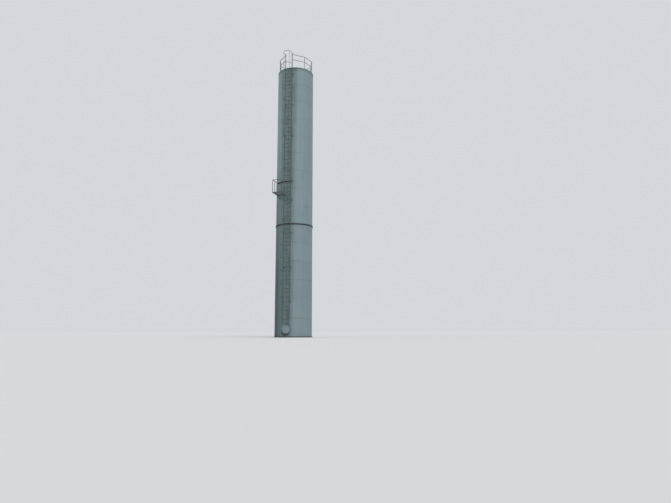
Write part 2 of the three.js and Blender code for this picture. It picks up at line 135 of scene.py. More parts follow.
VENT_PIPE = (
    (0.03, 0), (0.085, 0), (0.085, 0.006), (0.066, 0.01), (0.057, 0.02), (0.057, 0.262), (0.03, 0.262),
)
VENT_CAP = (
    (0.03, 0.262), (0.112, 0.262), (0.12, 0.27), (0.12, 0.291), (0.114, 0.297), (0.03, 0.334), (0.004, 0.34),
)
VENT_STRUTS = 6
STRUT_FOOT = (0.06, 0.2)
STRUT_RUN = (0.03, 0.07)
STRUT_RADIUS = 0.004

# Sizes of the ladder and its cage
LADDER_PLANE = -1.7
LADDER_HALF = 0.3
LADDER_FOOT = 1.05
LADDER_TOP = 23.68
STILE = (0.04, 0.06)
STILE_EDGE = 0.006
SPLICE_PLATE = (0.006, 0.05)
SPLICE_HALF = 0.09
SPLICE_BOLTS = (-0.065, -0.025, 0.025, 0.065)
SPLICE_BOLT = 0.01
RUNG_PITCH = 0.341
FIRST_RUNG = 1.4
RUNGS = 16
RUNG_RADIUS = 0.013
COLLAR_RADIUS = 0.016
COLLAR_LENGTH = 0.005
RUNG_SIDES = 12
ARMS_AT_RUNGS = (4, 12)
ARM_BAR = (0.012, 0.05)
ARM_END = 0.006
PAD_HALF = (0.05, 0.07)
PAD_THICKNESS = 0.01
PAD_BOLTS = (-0.05, 0.05)
PAD_BOLT = 0.012
CAGE_CENTRE = -2.02
HOOP_RADIUS = 0.353
HOOP_BAR = (0.005, 0.04)
HOOP_STEPS = 40
HOOP_LAP_X = 0.3228
HOOP_LAP_BACK = -1.69
HOOP_LAP_BOLTS = (-1.7, -1.718)
HOOP_BOLT = 0.009
HOOP_PITCH = 3 * RUNG_PITCH
HOOP_TOP = 23.6
HOOPS = (6, 6, 6, 5)
STRAP_BAR = (0.005, 0.025)
STRAP_SUNK = 0.0005
STRAP_BOLT = 0.008
STRAP_ANGLES = (0, -45, -135, -180)
OPEN_HOOP_END = -138.2

# Sizes of the rest platform and the railings
FLOOR = 11.52
FLOOR_DEPTH = 0.05
DECK_LEFT = -1.08
DECK_RIGHT = -0.275
NOTCH_SIDE = -0.335
NOTCH_FRONT = -1.775
DECK_FRONT = -2.3
WAY_TOP = 13.725
FRAME_PLATE = 0.006
FRAME_LEG = 0.05
FRAME_CLEAR = 0.008
FRAME_TO_WALL = 0.004
FRAME_MARGIN = 0.01
BEARING_BAR = (0.003, 0.03)
BEARING_PITCH = 0.03
BEARING_TO_WALL = 0.012
BEARING_LEVEL = FLOOR - 0.0165
CROSS_BAR = (0.006, 0.006)
CROSS_PITCH = 0.05
CROSS_TO_WALL = 0.014
CROSS_LEVEL = FLOOR - 0.004
CROSS_START = 0.06
CROSS_END = -1.05
BENT_BAR = (0.006, 0.049)
BENT_BAR_LEVEL = FLOOR - 0.0255
LEFT_BRACKET = -0.84
RIGHT_BRACKET = -0.42
BRACKET_DROP = 0.35
BRACKET_INSET = 0.05
BRACKET_ARM = (0.05, 0.006)
BRACKET_BRACE = (0.044, 0.005)
BRACKET_PLATE = 0.008
BRACE_FOOT = (0.012, 0.045)
BRACE_HEAD = (0.05, 0.028)
BRACKET_BOLT = 0.014
BRACKET_BOLTS = (0.03, 0.09)
RAIL_LEVEL = 12.539
POST_INSET = 0.03
POST_PITCH = 0.435
TUBE = 0.021
POST_WELD = (0.005, 0.006)
CORNER_BEND = 0.06
WALL_BAND = (0.039, 0.004)
WALL_BAND_CLEAR = 0.0205
WALL_BAND_END = 0.4
FOOT_PLATE = (0.12, 0.05, 0.006)
FOOT_BOLT = 0.01
FOOT_BOLT_OFF = 0.042
ROOF_RAIL_RADIUS = 1.43
ROOF_TOP_RAIL = 23.599
ROOF_MID_RAIL = 23.1272
ROOF_POSTS = (51, 94, 137, 180)
RAIL_STUB = 0.06
RAIL_BEND = 0.05
RAIL_SLIT = 0.001

# A bolt's parts as shares of its thread's diameter, with the stud's bevel in metres
WASHER_RADIUS = 0.92
WASHER_HEIGHT = 0.15
WASHER_SIDES = 14
HEAD_RADIUS = 0.84
HEAD_TOP_RADIUS = 0.72
HEAD_HEIGHT = 0.62
HEAD_BEVEL = 0.1
HEAD_SIDES = 6
STUD_RADIUS = 0.46
STUD_TOP_RADIUS = 0.38
STUD_BEVEL = 0.002
STUD_SIDES = 10

# Painted shade and shadow on the wall, where a pair says where a kind starts and where it is full
SIDE_SHADE_X = (-0.2, -1.0)
SIDE_SHADE_Y = (1.1, -0.3)
SIDE_SHADE_Z = (16.5, 5.0)
SIDE_SHADE_WANDER = 5.0
FRONT_Y = (-0.6, -1.1)
LADDER_SHADOW_X = -0.1
LADDER_SHADOW_REACH = 0.58
LADDER_SHADOW_WIDER = 0.25
LADDER_SHADOW_WIDER_Z = (8.0, 21.5)
LADDER_SHADOW_FADE = (-0.08, 0.3)
MANHOLE_SHADOW = (-0.13, MANHOLE_LEVEL - 0.18)
MANHOLE_SHADOW_RADIUS = (0.38, 0.28)
JOINT_SHADE = (0.09, 0.05)
JOINT_SHADE_X = (0.9, -0.2)
ROOF_SHADE_Z = (22.1, 22.45)
ROOF_SHADE_SHARE = 0.35
FOOT_SHADE_Z = (0.14, 0.04)

# Finish of all steel
PLAIN = (0.2, 0.27, 0.29, 1)
DUST_COLOUR = (0.36, 0.36, 0.33, 1)
WORN_ROUGHER = 0.22
RUST_ROUGHER = 0.3
BUMP = {"Strength": 0.16, "Distance": 0.002}
SHEEN = 0.35

# The stage
LIGHT_DISTANCE = 40
FLOOR_HALF = 900
FLOOR_GREY = 0.62
SKY_COLOUR = (0.655, 0.683, 0.72, 1)


# Materials

def add_node(tree, kind, settings=None, inputs=None):
    """A node with its settings, and its inputs set to values or linked from other nodes."""
    made = tree.nodes.new(kind)
    for name, value in (settings or {}).items():
        setattr(made, name, value)
    for socket, value in (inputs or {}).items():
        if isinstance(value, bpy.types.NodeSocket):
            tree.links.new(value, made.inputs[socket])
        else:
            made.inputs[socket].default_value = value
    return made


def mixed(tree, share, first, second):
    """A colour between two; sockets 0, 6 and 7 are the Mix node's factor and colours."""
    inputs = {0: share, 6: first, 7: second}
    return add_node(tree, "ShaderNodeMix", {"data_type": "RGBA"}, inputs).outputs[2]


def math_of(tree, operation, *values):
    made = add_node(tree, "ShaderNodeMath", {"operation": operation}, dict(enumerate(values)))
    return made.outputs[0]


def times(tree, first, second):
    return math_of(tree, "MULTIPLY", first, second)


def band_of(tree, value, low, high):
    """0 at low, 1 at high, a straight rise between, and no further beyond either."""
    inputs = {"Value": value, "From Min": low, "From Max": high}
    return add_node(tree, "ShaderNodeMapRange", {"clamp": True}, inputs).outputs["Result"]


def place_of(tree):
    """The place on the piece, in its own coordinates."""
    return add_node(tree, "ShaderNodeTexCoord").outputs["Object"]


def axes_of(tree, vector):
    return add_node(tree, "ShaderNodeSeparateXYZ", None, {0: vector}).outputs


def noise_of(tree, scale, size, detail, roughness=0.55):
    """Noise over the piece's own coordinates, stretched by a scale along each axis."""
    stretched = add_node(tree, "ShaderNodeMapping", None, {"Vector": place_of(tree), "Scale": scale})
    inputs = {"Vector": stretched.outputs["Vector"], "Scale": size, "Detail": detail, "Roughness": roughness}
    return add_node(tree, "ShaderNodeTexNoise", None, inputs).outputs["Fac"]


def new_group(name, inputs):
    """An empty node group and its inputs' sockets; a tuple makes a colour and a number a value."""
    tree = bpy.data.node_groups.new(name, "ShaderNodeTree")
    for label, default in inputs.items():
        kind = "NodeSocketColor" if isinstance(default, tuple) else "NodeSocketFloat"
        socket = tree.interface.new_socket(name=label, in_out="INPUT", socket_type=kind)
        socket.default_value = default
    return tree, tree.nodes.new("NodeGroupInput").outputs


def close_group(tree, results):
    """The outputs of a group, each linked from a socket inside it."""
    for label, result in results.items():
        kind = "NodeSocketColor" if result.type == "RGBA" else "NodeSocketFloat"
        tree.interface.new_socket(name=label, in_out="OUTPUT", socket_type=kind)
    add_node(tree, "NodeGroupOutput", None, results)


def weathered_paint_group():
    """Old paint: broad faded patches, fine and broad upright streaks and a small mottle."""
    tree, given = new_group("weathered_paint", {
        "Paint": PLAIN,
        "Faded": (0.3, 0.36, 0.37, 1),
        "Dirty": (0.1, 0.13, 0.13, 1),
        "Patches": 0.3,
        "Streaks": 0.3,
    })
    patches = band_of(tree, noise_of(tree, (1, 1, 0.55), 0.9, 5), 0.42, 0.68)
    streaks = band_of(tree, noise_of(tree, (9, 9, 0.35), 1.2, 6, 0.62), 0.47, 0.72)
    broad = band_of(tree, noise_of(tree, (3.4, 3.4, 0.07), 1.0, 3), 0.4, 0.62)
    mottle = band_of(tree, noise_of(tree, (1, 1, 1), 14, 4), 0.4, 0.7)
    faded = mixed(tree, times(tree, patches, given["Patches"]), given["Paint"], given["Faded"])
    darkening = times(tree, math_of(tree, "MULTIPLY_ADD", broad, 0.5, streaks), given["Streaks"])
    streaked = mixed(tree, darkening, faded, given["Dirty"])
    speckled = mixed(tree, times(tree, mottle, 0.07), streaked, given["Faded"])
    wear = math_of(tree, "ADD", times(tree, patches, 0.5), darkening)
    close_group(tree, {"Color": speckled, "Wear": wear})


def plate_courses_group():
    """Each plate course a little lighter or darker, with dirt along its seam and stains that run down."""
    tree, given = new_group("plate_courses", {
        "Color": PLAIN,
        "Stain": (0.09, 0.09, 0.08, 1),
        "Difference": 0.1,
        "Below the joint": 0.06,
        "Runs": 0.3,
        "Seams": 0.4,
    })
    height = axes_of(tree, place_of(tree))["Z"]
    counted = math_of(tree, "DIVIDE", height, COURSE)
    course = math_of(tree, "FLOOR", counted)
    chance = add_node(tree, "ShaderNodeTexWhiteNoise", {"noise_dimensions": "1D"}, {"W": course})
    lower = times(tree, math_of(tree, "LESS_THAN", height, JOINT_LEVEL), given["Below the joint"])
    shade = math_of(tree, "MULTIPLY_ADD", chance.outputs["Value"], given["Difference"], lower)
    toned = mixed(tree, shade, given["Color"], (0.02, 0.03, 0.035, 1))
    below_seam = band_of(tree, math_of(tree, "FRACT", counted), 0.45, 1.0)
    runs = band_of(tree, noise_of(tree, (16, 16, 0.12), 1.0, 5, 0.7), 0.52, 0.74)
    stain = times(tree, times(tree, below_seam, runs), given["Runs"])
    at_seam = band_of(tree, math_of(tree, "PINGPONG", counted, 0.5), 0.022, 0.008)
    here = band_of(tree, noise_of(tree, (0.8, 0.8, 0.6), 1.0, 2), 0.42, 0.56)
    seam = times(tree, times(tree, at_seam, here), given["Seams"])
    share = math_of(tree, "MAXIMUM", stain, seam)
    close_group(tree, {"Color": mixed(tree, share, toned, given["Stain"])})


def wall_painted_shade_group():
    """Painted shade on the wall: the left side darker towards the foot, a painted shadow of the ladder and
    its cage, and painted shade under the manhole, beside the flanges, under the roof and at the foot.
    """
    tree, given = new_group("wall_painted_shade", {
        "Color": PLAIN,
        "Side shade colour": (0.038, 0.062, 0.07, 1),
        "Ladder shadow colour": (0.044, 0.08, 0.072, 1),
        "Edge shade colour": (0.02, 0.024, 0.024, 1),
        "Side shade": 0.5,
        "By the ladder": 0.3,
        "At the edges": 0.5,
    })
    x, y, z = axes_of(tree, place_of(tree))
    at_front = band_of(tree, y, *FRONT_Y)
    # Painted shade: the front of the left side, darker towards the foot, with a wavering upper edge
    uneven = noise_of(tree, (2.2, 2.2, 0.22), 1.0, 5, 0.6)
    wander = math_of(tree, "MULTIPLY_ADD", uneven, SIDE_SHADE_WANDER, -SIDE_SHADE_WANDER / 2)
    height = math_of(tree, "ADD", z, wander)
    side_shade = times(tree, band_of(tree, x, *SIDE_SHADE_X), band_of(tree, height, *SIDE_SHADE_Z))
    side_shade = times(tree, side_shade, band_of(tree, y, *SIDE_SHADE_Y))
    # Painted shadow of the ladder and its cage on the wall behind them, blotchy and wider higher up
    reach = math_of(tree, "MULTIPLY_ADD", band_of(tree, z, *LADDER_SHADOW_WIDER_Z), LADDER_SHADOW_WIDER, LADDER_SHADOW_REACH)
    off = math_of(tree, "ABSOLUTE", math_of(tree, "SUBTRACT", x, LADDER_SHADOW_X))
    beside = band_of(tree, math_of(tree, "SUBTRACT", reach, off), *LADDER_SHADOW_FADE)
    blotches = band_of(tree, noise_of(tree, (3.2, 3.2, 1.0), 1.0, 4, 0.6), 0.38, 0.62)
    blotched = math_of(tree, "MULTIPLY_ADD", blotches, 0.6, 0.55)
    ladder_shadow = times(tree, times(tree, beside, at_front), blotched)
    with_side_shade = mixed(tree, times(tree, side_shade, given["Side shade"]), given["Color"], given["Side shade colour"])
    with_ladder_shadow = mixed(tree, times(tree, ladder_shadow, given["By the ladder"]), with_side_shade, given["Ladder shadow colour"])
    # Painted shade under the manhole, beside the flanges (more on the left, away from the light), under the
    # roof and at the foot
    across = math_of(tree, "POWER", math_of(tree, "SUBTRACT", x, MANHOLE_SHADOW[0]), 2.0)
    down = math_of(tree, "POWER", math_of(tree, "SUBTRACT", z, MANHOLE_SHADOW[1]), 2.0)
    near = math_of(tree, "SQRT", math_of(tree, "ADD", across, down))
    under_manhole = times(tree, band_of(tree, near, *MANHOLE_SHADOW_RADIUS), at_front)
    from_joint = math_of(tree, "ABSOLUTE", math_of(tree, "SUBTRACT", z, JOINT_LEVEL))
    at_joint = times(tree, band_of(tree, from_joint, *JOINT_SHADE), band_of(tree, x, *JOINT_SHADE_X))
    under_roof = times(tree, band_of(tree, z, *ROOF_SHADE_Z), ROOF_SHADE_SHARE)
    at_foot = band_of(tree, z, *FOOT_SHADE_Z)
    edges = math_of(tree, "MAXIMUM", under_manhole, at_joint)
    edges = math_of(tree, "MAXIMUM", edges, math_of(tree, "MAXIMUM", under_roof, at_foot))
    dark = times(tree, edges, given["At the edges"])
    close_group(tree, {"Color": mixed(tree, dark, with_ladder_shadow, given["Edge shade colour"])})


def rust_group():
    """Small rust spots where the paint has failed."""
    tree, given = new_group("rust_spots", {"Size": 30.0, "Amount": 0.3})
    fine = noise_of(tree, (1, 1, 1), given["Size"], 6, 0.65)
    spread = band_of(tree, noise_of(tree, (1, 1, 0.6), 2.5, 3), 0.5, 0.7)
    spots = times(tree, band_of(tree, fine, 0.6, 0.7), spread)
    tone = mixed(tree, noise_of(tree, (1, 1, 1), 60, 4), (0.09, 0.035, 0.015, 1), (0.2, 0.085, 0.035, 1))
    close_group(tree, {"Mask": times(tree, spots, given["Amount"]), "Color": tone})


def dust_group():
    """Pale dust on the faces that look up."""
    tree, given = new_group("top_dust", {"Amount": 0.4})
    facing = add_node(tree, "ShaderNodeNewGeometry").outputs["Normal"]
    upward = axes_of(tree, facing)["Z"]
    broken = band_of(tree, noise_of(tree, (1, 1, 1), 6, 5), 0.3, 0.7)
    mask = times(tree, band_of(tree, upward, 0.55, 0.95), broken)
    close_group(tree, {"Mask": times(tree, mask, given["Amount"])})


def skin_group():
    """The height of brushed paint over rolled steel."""
    tree, given = new_group("paint_skin", {"Grain": 90.0})
    fine = noise_of(tree, (1, 1, 1), given["Grain"], 5, 0.5)
    broad = noise_of(tree, (1, 1, 0.6), 7, 3)
    height = math_of(tree, "ADD", times(tree, fine, 0.4), times(tree, broad, 0.6))
    close_group(tree, {"Height": height})


weathered_paint_group()
plate_courses_group()
wall_painted_shade_group()
rust_group()
dust_group()
skin_group()


def placed_group(tree, name, inputs):
    settings = {"node_tree": bpy.data.node_groups[name]}
    return add_node(tree, "ShaderNodeGroup", settings, inputs).outputs


def new_material(name):
    material = bpy.data.materials.new(name)
    material.use_nodes = True
    return material, material.node_tree, material.node_tree.nodes["Principled BSDF"]


def painted_steel(
    name, paint, faded, dirty, rust, roughness, patches=0.35, streaks=0.3, dust=0.25, grain=90.0, courses=None
):
    """A finish; courses gives the plate courses' difference and stains, and the shares of painted shade and
    shadow on the wall.
    """
    material, tree, shader = new_material(name)
    colours = {"Paint": (*paint, 1), "Faded": (*faded, 1), "Dirty": (*dirty, 1)}
    coat = placed_group(tree, "weathered_paint", {**colours, "Patches": patches, "Streaks": streaks})
    colour = coat["Color"]
    if courses:
        difference, runs, side_shade, ladder_shadow, edges = courses
        plates = {"Color": colour, "Difference": difference, "Runs": runs}
        colour = placed_group(tree, "plate_courses", plates)["Color"]
        # The shares of painted shade and shadow on the wall
        darkening = {"Color": colour, "Side shade": side_shade, "By the ladder": ladder_shadow, "At the edges": edges}
        colour = placed_group(tree, "wall_painted_shade", darkening)["Color"]
    spots = placed_group(tree, "rust_spots", {"Amount": rust})
    colour = mixed(tree, spots["Mask"], colour, spots["Color"])
    settled = placed_group(tree, "top_dust", {"Amount": dust})["Mask"]
    colour = mixed(tree, settled, colour, DUST_COLOUR)
    rough = math_of(tree, "ADD", times(tree, coat["Wear"], WORN_ROUGHER), roughness)
    rough = math_of(tree, "ADD", rough, times(tree, spots["Mask"], RUST_ROUGHER))
    skin = placed_group(tree, "paint_skin", {"Grain": grain})["Height"]
    height = math_of(tree, "SUBTRACT", skin, spots["Mask"])
    bump = add_node(tree, "ShaderNodeBump", None, {**BUMP, "Height": height})
    tree.links.new(colour, shader.inputs["Base Color"])
    tree.links.new(rough, shader.inputs["Roughness"])
    tree.links.new(bump.outputs["Normal"], shader.inputs["Normal"])
    shader.inputs["Metallic"].default_value = 0.0
    shader.inputs["Specular IOR Level"].default_value = SHEEN
    return material


# In a courses tuple the last three numbers are shares of painted shade and shadow on the wall
TANK_PAINT = painted_steel(
    "tank_paint", (0.198, 0.262, 0.273), (0.258, 0.32, 0.332), (0.125, 0.165, 0.172),
    rust=0.1, roughness=0.5, patches=0.34, streaks=0.26, dust=0.2, courses=(0.05, 0.3, 0.95, 0.5, 0.75),
)
RIM_PAINT = painted_steel(
    "rim_paint", (0.12, 0.155, 0.165), (0.16, 0.2, 0.21), (0.07, 0.09, 0.095),
    rust=0.3, roughness=0.55, patches=0.3, dust=0.1, courses=(0.0, 0.0, 0.9, 0.8, 0.4),
)
ROOF_PAINT = painted_steel(
    "roof_paint", (0.2, 0.255, 0.27), (0.27, 0.32, 0.33), (0.1, 0.12, 0.12),
    patches=0.5, streaks=0.15, rust=0.4, dust=0.6, roughness=0.62,
)
# Near black: the flange rings' and joint bolts' own paint, and painted shade on the foot plate and on the bar
# along the wall
DARK_PAINT_AND_SHADE = painted_steel(
    "dark_paint_and_shade", (0.018, 0.022, 0.024), (0.035, 0.04, 0.042), (0.01, 0.012, 0.012),
    rust=0.5, roughness=0.58, patches=0.3,
)
FITTING_PAINT = painted_steel(
    "fitting_paint", (0.175, 0.23, 0.24), (0.235, 0.29, 0.3), (0.1, 0.12, 0.12),
    rust=0.45, roughness=0.52, streaks=0.25, dust=0.3,
)
LADDER_PAINT = painted_steel(
    "ladder_paint", (0.076, 0.104, 0.103), (0.115, 0.146, 0.145), (0.038, 0.05, 0.05),
    rust=0.6, roughness=0.48, grain=140.0,
)
RAIL_PAINT = painted_steel(
    "rail_paint", (0.045, 0.055, 0.058), (0.085, 0.1, 0.102), (0.022, 0.026, 0.026),
    rust=0.6, roughness=0.48, grain=140.0,
)
GRATING_STEEL = painted_steel(
    "grating_steel", (0.34, 0.35, 0.36), (0.45, 0.45, 0.45), (0.2, 0.2, 0.2),
    rust=0.5, roughness=0.45, patches=0.5, dust=0.2, grain=160.0,
)
BOLT_STEEL = painted_steel(
    "bolt_steel", (0.1, 0.12, 0.12), (0.2, 0.21, 0.2), (0.035, 0.03, 0.025),
    patches=0.5, streaks=0.4, rust=1.0, dust=0.2, roughness=0.55, grain=220.0,
)
WELD_PAINT = painted_steel(
    "weld_paint", (0.17, 0.225, 0.24), (0.24, 0.29, 0.3), (0.09, 0.1, 0.1),
    patches=0.3, streaks=0.35, rust=0.5, dust=0.15, roughness=0.56, grain=260.0,
    courses=(0.05, 0.2, 0.95, 0.55, 0.75),
)


# Shapes

def polar(radius, angle, height):
    """A point round the Z axis, at an angle in radians from +X."""
    return radius * math.cos(angle), radius * math.sin(angle), height


def turns(count, offset=0.0):
    """The angles of equal steps round one turn, in radians."""
    return [2 * math.pi * (step + offset) / count for step in range(count)]


def circle_section(radius, sides):
    turn = 2 * math.pi / sides
    return [(radius * math.cos(turn * step), radius * math.sin(turn * step)) for step in range(sides)]


def bar_section(depth, width, edge=0.0012):
    """A flat bar's section with its corners taken off."""
    u, v = depth / 2, width / 2
    return [
        (u, -v + edge), (u, v - edge), (u - edge, v), (-u + edge, v),
        (-u, v - edge), (-u, -v + edge), (-u + edge, -v), (u - edge, -v),
    ]


def angle_section(leg, thickness):
    """An angle bar's section, its heel at the corner (0, 0)."""
    return [(0, 0), (leg, 0), (leg, thickness), (thickness, thickness), (thickness, leg), (0, leg)]


def ringed(radius, bottom, top, inner, edge=0.002):
    """The profile of a round or ring plate with its outer edges taken off."""
    return [
        (inner, bottom), (radius - edge, bottom), (radius, bottom + edge),
        (radius, top - edge), (radius - edge, top), (inner, top),
    ]


def grid_faces(rows, columns, row_ring=False, column_ring=False, turned_over=False):
    """Faces over points listed row by row; a ring joins its last row or column to its first."""
    faces = []
    for row in range(rows if row_ring else rows - 1):
        low, high = row * columns, (row + 1) % rows * columns
        for column in range(columns if column_ring else columns - 1):
            beside = (column + 1) % columns
            face = (low + column, low + beside, high + beside, high + column)
            faces.append((face[0], *reversed(face[1:])) if turned_over else face)
    return faces


def placed(name, data):
    """A new object in the scene."""
    made = bpy.data.objects.new(name, data)
    bpy.context.scene.collection.objects.link(made)
    return made


class Steelwork:
    """The vertices and faces of one piece while it is built up."""

    def __init__(self):
        self.points = []
        self.faces = []

    def add(self, points, faces):
        first = len(self.points)
        self.points.extend(tuple(point) for point in points)
        self.faces.extend([tuple(first + index for index in face) for face in faces])

    def sweep(self, path, section, up=UP, closed=False):
        """A section carried along a path; its first axis points sideways and its second along up."""
        path = [Vector(point) for point in path]
        count, sides = len(path), len(section)
        points = []
        for index, point in enumerate(path):
            before = path[index - 1] if index or closed else None
            after = path[(index + 1) % count] if index < count - 1 or closed else None
            into = (point - before).normalized() if before is not None else (after - point).normalized()
            onward = (after - point).normalized() if after is not None else into
            along = (into + onward).normalized()
            side = along.cross(up).normalized()
            top = side.cross(along).normalized()
            widen = 1 / max(into.dot(along), SHARPEST_MITRE)
            turns_level = abs(into.cross(onward).dot(top)) >= abs(into.cross(onward).dot(side))
            wide, high = (widen, 1) if turns_level else (1, widen)
            points.extend(point + side * (u * wide) + top * (v * high) for u, v in section)
        faces = grid_faces(count, sides, closed, True)
        if not closed:
            faces.append(tuple(reversed(range(sides))))
            faces.append(tuple((count - 1) * sides + corner for corner in range(sides)))
        self.add(points, faces)

    def tube(self, path, radius, sides=TUBE_SIDES):
        """A round bar, whose section is laid out from BACK where it stands upright."""
        along = (Vector(path[1]) - Vector(path[0])).normalized()
        self.sweep(path, circle_section(radius, sides), BACK if abs(along.z) > UPRIGHT else UP)

    def bar(self, start, end, depth, width, up=UP):
        self.sweep([start, end], bar_section(depth, width), up)

    def block(self, low, high):
        """A plate between its lowest and highest corners, with its upright edges taken off."""
        x, y, _ = ((a + b) / 2 for a, b in zip(low, high))
        self.bar((x, y, low[2]), (x, y, high[2]), high[0] - low[0], high[1] - low[1], BACK)

    def turned(self, profile, sides, place=Matrix.Identity(4), closed=True):
        """A profile of (radius, height) turned round the Z axis of a placing matrix."""
        points = []
        for angle in turns(sides):
            points.extend(place @ Vector(polar(radius, angle, height)) for radius, height in profile)
        self.add(points, grid_faces(sides, len(profile), True, closed, turned_over=True))

    def disc_faces(self, profile, sides, place=Matrix.Identity(4)):
        """A turned solid whose open profile starts and ends near the axis, closed there by round faces."""
        first = len(self.points)
        count = len(profile)
        self.turned(profile, sides, place, closed=False)
        self.faces.append(tuple(first + step * count for step in reversed(range(sides))))
        self.faces.append(tuple(first + step * count + count - 1 for step in range(sides)))

    def bolt(self, point, outward, size, washer=True, stud=0.0):
        """A hexagon head or nut on its washer; size is the thread's diameter."""
        place = Matrix.Translation(point) @ Vector(outward).to_track_quat("Z", "Y").to_matrix().to_4x4()
        seat = WASHER_HEIGHT * size if washer else 0.0
        if washer:
            radius = WASHER_RADIUS * size
            self.disc_faces([(radius, 0), (radius, seat)], WASHER_SIDES, place)
        half, top = HEAD_RADIUS * size, seat + HEAD_HEIGHT * size
        head = [(half, seat), (half, top - HEAD_BEVEL * size), (HEAD_TOP_RADIUS * size, top)]
        self.disc_faces(head, HEAD_SIDES, place)
        if stud:
            half, end = STUD_RADIUS * size, top + stud
            tip = [(half, top), (half, end - STUD_BEVEL), (STUD_TOP_RADIUS * size, end)]
            self.disc_faces(tip, STUD_SIDES, place)

    def piece(self, name, material, slot, replaced=()):
        """The finished piece, shaded smooth apart from its edges, riding on the tower."""
        mesh = bpy.data.meshes.new(name)
        mesh.from_pydata(self.points, [], self.faces)
        mesh.validate()
        mesh.materials.append(material)
        mesh.shade_smooth()
        mesh.set_sharp_from_angle(angle=math.radians(SMOOTH_UP_TO))
        made = placed(name, mesh)
        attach(made, BODY)
        if replaced:
            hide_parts(*replaced)


def on_tank(radius, angle, level):
    """A point at an angle round the tank, in degrees from the ladder and positive to the right."""
    turn = math.radians(angle)
    return Vector((radius * math.sin(turn), -radius * math.cos(turn), level))


def arc_on_tank(radius, start, stop, level, steps):
    return [on_tank(radius, start + (stop - start) * step / steps, level) for step in range(steps + 1)]


def wall_at(across, clear=0.0):
    """The tank's wall as a y in front of an x, or as an x on the left of a y."""
    return -math.sqrt((RADIUS + clear) ** 2 - across ** 2)


def wavy_wall(angle, level):
    """The wall's radius at an angle in radians, as the rolled plates stand in and out of a true round."""
    spot = Vector((WAVE_ACROSS * math.cos(angle), WAVE_ACROSS * math.sin(angle), WAVE_UP * level))
    return RADIUS + PLATE_WAVE * noise.noise(spot)


# Tank

def shell(word, bottom, top):
    """The rolled wall of one part of the tank."""
    rows = round((top - bottom) / COURSE * ROWS_PER_COURSE)
    points = []
    for row in range(rows + 1):
        level = bottom + (top - bottom) * row / rows
        for angle in turns(SHELL_SIDES):
            points.append(polar(wavy_wall(angle, level), angle, level))
    work = Steelwork()
    work.add(points, grid_faces(rows + 1, SHELL_SIDES, column_ring=True))
    replaced = [f"{word}_wall_{index}" for index in range(1, 9)]
    work.piece(f"shell_{word}", TANK_PAINT, TANK, replaced)


def level_weld(work, level):
    """The weld bead between two courses, on the wall's own waves."""
    points = []
    for angle in turns(SHELL_SIDES):
        wall = wavy_wall(angle, level) - BEAD_SUNK
        for across, proud in BEAD:
            points.append(polar(wall + proud * WELD_HEIGHT, angle, level + across * WELD_WIDTH / 2))
    work.add(points, grid_faces(SHELL_SIDES, len(BEAD), row_ring=True, turned_over=True))


def upright_weld(work, angle, bottom, top):
    """The weld bead where a course's two plate ends meet."""
    points = []
    for row in range(ROWS_PER_COURSE + 1):
        level = bottom + (top - bottom) * row / ROWS_PER_COURSE
        for across, proud in BEAD:
            turn = angle + across * WELD_WIDTH / 2 / RADIUS
            points.append(polar(wavy_wall(turn, level) - BEAD_SUNK + proud * WELD_HEIGHT, turn, level))
    work.add(points, grid_faces(ROWS_PER_COURSE + 1, len(BEAD)))


def tank_welds(name, first_course, last_course):
    """All beads of one part of the tank, the upright ones stepped round from course to course."""
    work = Steelwork()
    for course in range(first_course, last_course):
        bottom = max(course * COURSE, BASE_THICKNESS)
        top = min((course + 1) * COURSE, ROOF_LEVEL - ROOF_THICKNESS)
        if course > first_course:
            level_weld(work, course * COURSE)
        for half_turn in (0, math.pi):
            upright_weld(work, math.radians(FIRST_SEAM + SEAM_STEP * course) + half_turn, bottom, top)
    work.piece(name, WELD_PAINT, TANK)


def bolt_circle(work, size, level, outward, stud):
    """Bolts all round the tank; size is their number, the radius they stand on and their thread."""
    count, radius, thread = size
    for index in range(count):
        work.bolt(on_tank(radius, 360 * (index + 0.5) / count, level), outward, thread, stud=stud)


def joint_ring():
    """The two flange rings, bolted all round."""
    bottom, top = JOINT_LEVEL - FLANGE_THICKNESS, JOINT_LEVEL + FLANGE_THICKNESS
    for word, low, high in (("lower", bottom, JOINT_LEVEL), ("upper", JOINT_LEVEL, top)):
        work = Steelwork()
        work.turned(ringed(FLANGE_RADIUS, low, high, RADIUS - INTO_WALL, FLANGE_EDGE), SHELL_SIDES)
        work.piece(f"joint_ring_{word}", DARK_PAINT_AND_SHADE, FITTING, [f"joint_flange_{word}"])
    bolts = Steelwork()
    bolt_circle(bolts, JOINT_BOLTS, top, UP, stud=0)
    bolt_circle(bolts, JOINT_BOLTS, bottom, DOWN, stud=0.01)
    bolts.piece("joint_bolts", DARK_PAINT_AND_SHADE, FITTING)


def base():
    """The base plate, its fillet weld and the anchor nuts."""
    plate = Steelwork()
    plate.disc_faces(ringed(BASE_RADIUS, 0, BASE_THICKNESS, PLATE_MIDDLE, BASE_EDGE), SHELL_SIDES)
    # Painted near black: painted shade of the gap under the tank's foot
    plate.piece("foot_plate", DARK_PAINT_AND_SHADE, FITTING, ["base_plate"])
    weld = Steelwork()
    inside, outside = RADIUS - INTO_WALL, RADIUS + FOOT_WELD[0]
    top = BASE_THICKNESS + FOOT_WELD[1]
    weld.turned([(inside, BASE_THICKNESS), (outside, BASE_THICKNESS), (inside, top)], SHELL_SIDES)
    weld.piece("foot_weld", WELD_PAINT, TANK)
    nuts = Steelwork()
    bolt_circle(nuts, ANCHOR_BOLTS, BASE_THICKNESS, UP, stud=0.014)
    nuts.piece("anchor_nuts", BOLT_STEEL, FITTING)


